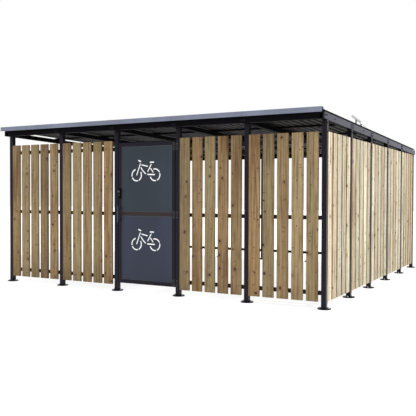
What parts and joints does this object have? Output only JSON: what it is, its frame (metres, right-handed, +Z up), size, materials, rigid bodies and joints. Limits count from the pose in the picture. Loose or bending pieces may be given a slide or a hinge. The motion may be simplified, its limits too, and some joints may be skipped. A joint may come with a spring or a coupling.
{
  "type": "bike shelter",
  "caption": "Bike shelter with a steel post frame, upright timber boards on two sides, a gently sloping ribbed roof and one hinged door.",
  "frame": {"origin": "on the ground, at the middle of the overall width and depth", "axes": "+Z up; the door side faces -Y; the boarded side wall is at +X"},
  "size_m": [5.16, 5.3708, 2.44],
  "materials": {
    "dark_steel": "satin",
    "roof_steel": "satin",
    "fascia_steel": "satin",
    "softwood": "matte",
    "door_sheet": "satin",
    "hardware": "satin",
    "panel_frame": "satin"
  },
  "bodies": {
    "shelter": {"front_feet": "dark_steel", "right_feet": "dark_steel", "left_feet": "dark_steel", "back_feet": "dark_steel", "front_corner_posts": "dark_steel", "back_corner_posts": "dark_steel", "front_posts": "dark_steel", "latch_post": "dark_steel", "hinge_post": "dark_steel", "right_posts": "dark_steel", "left_posts": "dark_steel", "back_posts": "dark_steel", "front_beam": "dark_steel", "back_beam": "dark_steel", "right_beam": "dark_steel", "left_beam": "dark_steel", "rafters": "dark_steel", "purlins": "dark_steel", "roof_sheet": "roof_steel", "front_fascia": "fascia_steel", "right_fascia": "dark_steel", "front_left_rails": "dark_steel", "front_right_rails": "dark_steel", "right_rails": "dark_steel", "back_rail": "dark_steel", "front_boards_1": "softwood", "front_boards_2": "softwood", "front_boards_3": "softwood", "front_boards_4": "softwood", "right_boards_1": "softwood", "right_boards_2": "softwood", "right_boards_3": "softwood", "right_boards_4": "softwood", "right_boards_5": "softwood", "post_hinges": "hardware", "strike_plate": "hardware", "solar_panel": "panel_frame", "solar_legs": "dark_steel"},
    "door": {"door_stiles": "dark_steel", "door_rails": "dark_steel", "door_upper_panel": "door_sheet", "door_lower_panel": "door_sheet", "door_hinges": "hardware", "lock_case": "hardware", "pull_handle": "hardware"}
  },
  "joints": [
    {"name": "door_hinge", "type": "hinge", "parent": "shelter", "child": "door", "pos_m": [0.465, -2.506, 1.1], "axis": [0, 0, 1], "range_deg": [0, 110]}
  ]
}
